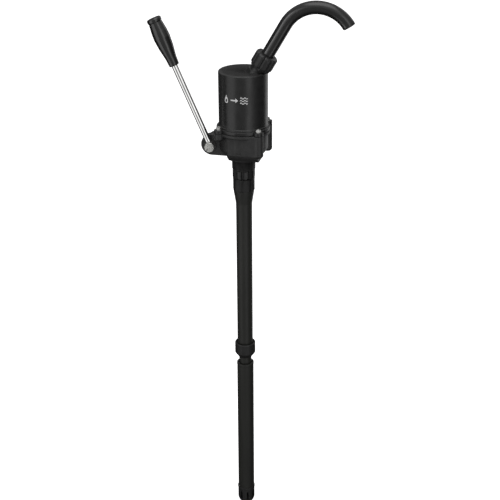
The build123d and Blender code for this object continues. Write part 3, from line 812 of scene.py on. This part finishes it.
def collar_mesh():
    """The reducing collar: fluted grip band, open rim and a cone down to the inner tube."""
    low, high = COLLAR_LOW[2], COLLAR_HIGH[2]

    def flutes(angle, radius, height):
        if radius < 21.4 or height < COLLAR_BAND_Z + 0.5 or height > high - 2.0:
            return radius
        return radius - 0.5 * max(0.0, cos(16 * angle)) ** 2

    return turned("collar_body", [
        (19.0, high), (21.3, high, 0.6), (COLLAR_R, high - 1.4, 0.5), (COLLAR_R, high - 3.0),
        (COLLAR_R, COLLAR_BAND_Z, 0.8), (20.9, COLLAR_BAND_Z - 2.0, 1.6), (15.2, -450.6, 2.0),
        (14.6, low, 0.4), (COLLAR_BORE_R, low), (COLLAR_BORE_R, high - 14.0), (16.7, high - 14.0),
        (16.7, high - 6.6), (19.0, high - 6.0), (19.0, high),
    ], segments=192, shape=flutes)


def lower_tube_mesh():
    """The lower tube with its thin open rim."""
    low, high = LOWER_LOW[2], LOWER_HIGH[2]
    return turned("lower_tube_body", [
        (LOWER_BORE_R, high), (LOWER_RIM_R, high - 0.2, 0.5), (LOWER_RIM_R, high - 5.0, 0.8),
        (LOWER_TUBE_R, high - 6.0, 0.6), (LOWER_TUBE_R, low, 0.4), (LOWER_BORE_R, low), (LOWER_BORE_R, high),
    ], segments=128)


def foot_slot(top, index):
    """One pointed window's cutting bar, turned to its place round the foot."""
    turn = Matrix.Rotation(radians(22.5 + 360 / FOOT_SLOTS * index), 4, "Z")
    outline = [(-2.6, top - 30.0), (2.6, top - 30.0), (1.9, top - 11.5), (0.0, top - 8.5), (-1.9, top - 11.5)]
    return extruded(outline, 9.0, 25.0, turn)


def foot_mesh():
    """The foot with its upper flange, pointed windows and rounded end."""
    low, top = FOOT_BOTTOM_Z, LOWER_LOW[2]
    outer = turned("foot", [
        (0, low), (14.0, low, 3.0), (16.2, low + 3.0, 3.0), (FOOT_R - 0.1, low + 9.5, 3.0),
        (FOOT_R, top - 5.0, 0.6), (FOOT_R + 0.6, top - 4.0, 0.4), (FOOT_R + 0.6, top, 0.4),
        (FOOT_SPIGOT_R, top), (FOOT_SPIGOT_R, top + 10.0), (FOOT_BORE_R, top + 10.0),
        (FOOT_BORE_R, low + 3.0), (0, low + 3.0),
    ], segments=128)
    slots = [foot_slot(top, index) for index in range(FOOT_SLOTS)]
    return combined("foot_body", outer, [join("slots", slots)], "DIFFERENCE")


# --- printed sign, laid on the barrel ---

def on_barrel(across, up, lift):
    """A point on the barrel from a distance around it and a height, in front."""
    angle = across / CYL_R
    radius = CYL_R + lift
    return (radius * sin(angle), -radius * cos(angle), up)


def sign_strip(pairs):
    """A printed strip between two matching rows of points, with a little thickness."""
    points, faces = [], []
    for a, b in pairs:
        points += [on_barrel(*a, SIGN_LIFT), on_barrel(*b, SIGN_LIFT)]
        points += [on_barrel(*b, -SIGN_ROOT), on_barrel(*a, -SIGN_ROOT)]
    for index in range(len(pairs) - 1):
        first, second = 4 * index, 4 * (index + 1)
        for side in range(4):
            following = (side + 1) % 4
            faces.append((first + side, first + following, second + following, second + side))
    faces.append((0, 1, 2, 3))
    last = 4 * (len(pairs) - 1)
    faces.append((last + 3, last + 2, last + 1, last))
    return mesh_from("strip", points, faces)


def upright_pair(across, half, middle=SIGN_Z):
    """The two ends of an upright line across a strip."""
    return ((across, middle - half), (across, middle + half))


def drop_strip():
    """A plain drop."""
    pairs = []
    for step in range(1, 28):
        turn = pi * step / 28
        half = 5.8 * sin(turn) * sin(turn / 2) ** 1.4
        height = SIGN_Z + 1.0 + 8.2 * cos(turn)
        pairs.append(((SIGN_START - half, height), (SIGN_START + half, height)))
    return sign_strip(pairs)


def wave_strip(left, middle):
    """One short level wave."""
    pairs = []
    for step in range(29):
        height = middle + 1.3 * sin(2 * pi * step / 14)
        pairs.append(upright_pair(left + 15.0 * step / 28, 0.95, height))
    return sign_strip(pairs)


def sign_mesh():
    """A drop, an arrow and three short waves."""
    left = SIGN_START + 10.5
    tip = left + 10.0
    shaft = sign_strip([upright_pair(left + step, 1.4) for step in range(11)])
    head = sign_strip([upright_pair(tip + 0.7 * step, 4.6 * (1 - step / 8)) for step in range(9)])
    waves = [wave_strip(tip + 9.5, SIGN_Z + row) for row in (-5.2, 0.0, 5.2)]
    return join("sign", [drop_strip(), shaft, head] + waves)


# --- pieces ---

def place_pieces():
    """Every visible piece, with its body, slot, material and the CAD node it stands for."""
    screws, washers = flange_screw_mesh()
    rows = [
        ("cylinder_shell", cylinder_mesh(), "pump_head", "cylinder_black", BARREL, ["cylinder"]),
        ("housing_shell", housing_mesh(), "pump_head", "housing_black", HOUSING, ["crank_housing"]),
        ("neck_thread", thread_mesh(), "pump_head", "housing_black", HOUSING, []),
        ("flange_screw_heads", screws, "pump_head", "zinc_steel", ZINC, ["flange_screws"]),
        ("flange_washer_rings", washers, "pump_head", "zinc_steel", ZINC, ["flange_washers"]),
        ("union_nut_shell", union_nut_mesh(), "nut", "nut_black", NUT, ["union_nut"]),
        ("spout_shell", spout_mesh(), "spout", "spout_black", SPOUT, ["spout_tube"]),
        ("hand_grip", grip_mesh(), "lever_set", "grip_black", GRIP, ["lever_grip"]),
        ("chromed_rod", rod_mesh(), "lever_set", "chrome_steel", CHROME, ["lever_rod"]),
        ("shaft_head", shaft_head_mesh(), "lever_set", "zinc_steel", TURNED, []),
        ("tube_nut_shell", tube_nut_mesh(), "pump_head", "nut_black", NUT, ["tube_nut"]),
        ("upper_tube_bell", upper_bell_mesh(), "pump_head", "tube_black", NECK, []),
        ("upper_tube_shell", upper_tube_mesh(), "pump_head", "tube_black", TUBE, ["upper_tube"]),
        ("collar_shell", collar_mesh(), "pump_head", "nut_black", NUT, ["tube_collar"]),
        ("lower_tube_shell", lower_tube_mesh(), "lower_section", "tube_black", TUBE, ["lower_tube"]),
        ("foot_shell", foot_mesh(), "lower_section", "nut_black", NUT, ["foot_strainer"]),
        ("front_sign", sign_mesh(), "pump_head", "cylinder_black", INK, []),
    ]
    for name, mesh, body, slot, material, replaced in rows:
        finish_piece(new_object(name, mesh), body, material, replaced)


def dress_cad_nodes():
    """Better materials on the CAD nodes that stay."""
    looks = {
        "seal_rubber": RUBBER, "bearing_plastic": BEARING, "stainless": STAINLESS,
        "zinc_steel": TURNED, "tube_black": TUBE,
    }
    slots = {item["node"]: item["material_slot"] for item in frame["record"]["subparts"]}
    for node, item in frame["nodes"].items():
        look = looks.get(slots[node])
        if look:
            for holder in item.material_slots:
                holder.material = look


# --- stage, light and camera ---

def camera_only(item):
    """Shown to the camera, and left out of the object's reflections and shading."""
    item.visible_diffuse = False
    item.visible_glossy = False
    item.visible_shadow = False
    item.visible_transmission = False


def stage_floor():
    """A plain white floor under the pump, and a white room round it."""
    level = cad_box[0][2] / MM
    reach, height, bend = 6000.0, 7000.0, 1500.0
    shell = turned("studio", [(0, level), (reach, level, bend), (reach, height, bend), (0, height)])
    room = new_object("studio_room", shell)
    white, _, _ = shader(
        "studio_white", (0.90, 0.90, 0.90), 0.95,
        Emission_Color=(1, 1, 1, 1), Emission_Strength=0.93, Specular_IOR_Level=0.0,
    )
    room.data.materials.append(white)
    camera_only(room)


def dot_ramp(tree, direction, along, low, high):
    """A value that rises with how far a direction points along another."""
    dot = tree.nodes.new("ShaderNodeVectorMath")
    dot.operation = "DOT_PRODUCT"
    dot.inputs[1].default_value = along
    spread = tree.nodes.new("ShaderNodeMapRange")
    spread.interpolation_type = "SMOOTHSTEP"
    spread.inputs["From Min"].default_value, spread.inputs["From Max"].default_value = low
    spread.inputs["To Min"].default_value, spread.inputs["To Max"].default_value = high
    tree.links.new(direction, dot.inputs[0])
    tree.links.new(dot.outputs["Value"], spread.inputs["Value"])
    return spread.outputs["Result"]


def world_light():
    """A dim room: a little brighter in front, brighter overhead, dark at the sides and behind."""
    world = bpy.data.worlds.new("studio")
    world.use_nodes = True
    tree = world.node_tree
    background = tree.nodes["Background"]
    place = tree.nodes.new("ShaderNodeTexCoord")
    direction = place.outputs["Generated"]
    front = dot_ramp(tree, direction, (0.24, -0.97, 0.0), (0.1, 0.9), WORLD_FRONT)
    above = dot_ramp(tree, direction, (0.0, 0.0, 1.0), (0.1, 0.6), WORLD_ABOVE)
    total = tree.nodes.new("ShaderNodeMath")
    total.operation = "ADD"
    tree.links.new(front, total.inputs[0])
    tree.links.new(above, total.inputs[1])
    tree.links.new(total.outputs["Value"], background.inputs["Strength"])
    background.inputs["Color"].default_value = (1, 1, 1, 1)
    bpy.context.scene.world = world


def softbox(name, azimuth, elevation, size, radiance, only=None):
    """A soft light aimed at the pump head, from angles in degrees seen from it and a size in metres.
    It can be kept to the objects of one collection."""
    light = bpy.data.lights.new(name, "AREA")
    light.shape = "RECTANGLE"
    light.size, light.size_y = size
    light.energy = radiance * pi * size[0] * size[1]
    item = bpy.data.objects.new(name, light)
    turn, lift = radians(azimuth), radians(elevation)
    back = Vector((sin(turn) * cos(lift), -cos(turn) * cos(lift), sin(lift)))
    item.location = back * SOFTBOX_DISTANCE_M
    item.rotation_euler = back.to_track_quat("Z", "Y").to_euler()
    item.visible_camera = False
    if only:
        item.light_linking.receiver_collection = only
    bpy.context.scene.collection.objects.link(item)


def receivers(name, pieces):
    """A collection of the pieces that a light is kept to."""
    group = bpy.data.collections.new(name)
    for piece in pieces:
        group.objects.link(bpy.data.objects[piece])
    return group


def room_lights():
    """Tall softboxes at the left, the right and behind on the right, and one overhead."""
    softbox("left_box", CAMERA_AZIMUTH - 59, 0, (1.30, SOFTBOX_HEIGHT_M), 0.80)
    softbox("right_box", CAMERA_AZIMUTH + 27, 0, (0.70, SOFTBOX_HEIGHT_M), 0.85)
    softbox("rim_box", CAMERA_AZIMUTH + 138, 0, (1.0, SOFTBOX_HEIGHT_M), 0.75)
    softbox("top_box", CAMERA_AZIMUTH, 80, (1.4, 1.4), 1.4)


def piece_lights():
    """Softboxes kept to the pump head's edges, to the spout, and to the bright metal of the lever."""
    edges = ["cylinder_shell", "housing_shell", "flange_screw_heads", "upper_tube_bell"]
    head = receivers("pump_head_only", edges)
    spout = receivers("spout_only", ["spout_shell"])
    metal = receivers("lever_only", ["chromed_rod", "shaft_head"])
    softbox("edge_box", CAMERA_AZIMUTH, 80, (1.4, 1.4), 4.6, only=head)
    softbox("spout_box", CAMERA_AZIMUTH - 66, 0, (0.45, SOFTBOX_HEIGHT_M), 2.0, only=spout)
    softbox("metal_left", CAMERA_AZIMUTH - 43, -8, (1.25, 4.0), 0.46, only=metal)
    softbox("metal_right", CAMERA_AZIMUTH + 50, -8, (1.6, 4.0), 0.72, only=metal)


def camera_in_front():
    """A camera in front, turned a little to the spout's side and looking down; its place is in metres."""
    azimuth, pitch, yaw, roll = CAMERA_AZIMUTH, 24.2, -0.29, -0.36
    distance, height = 2.297, 0.832
    camera = bpy.data.cameras.new("camera")
    camera.sensor_width = 36.0
    camera.lens = 86.4
    item = bpy.data.objects.new("camera", camera)
    item.location = (distance * sin(radians(azimuth)), -distance * cos(radians(azimuth)), height)
    turn = Matrix.Rotation(radians(azimuth + yaw), 4, "Z") @ Matrix.Rotation(radians(90 - pitch), 4, "X")
    item.rotation_euler = (turn @ Matrix.Rotation(radians(roll), 4, "Z")).to_euler()
    bpy.context.scene.collection.objects.link(item)
    bpy.context.scene.camera = item


place_pieces()
dress_cad_nodes()
stage_floor()
world_light()
room_lights()
piece_lights()
camera_in_front()
bpy.context.scene.view_settings.view_transform = "Standard"
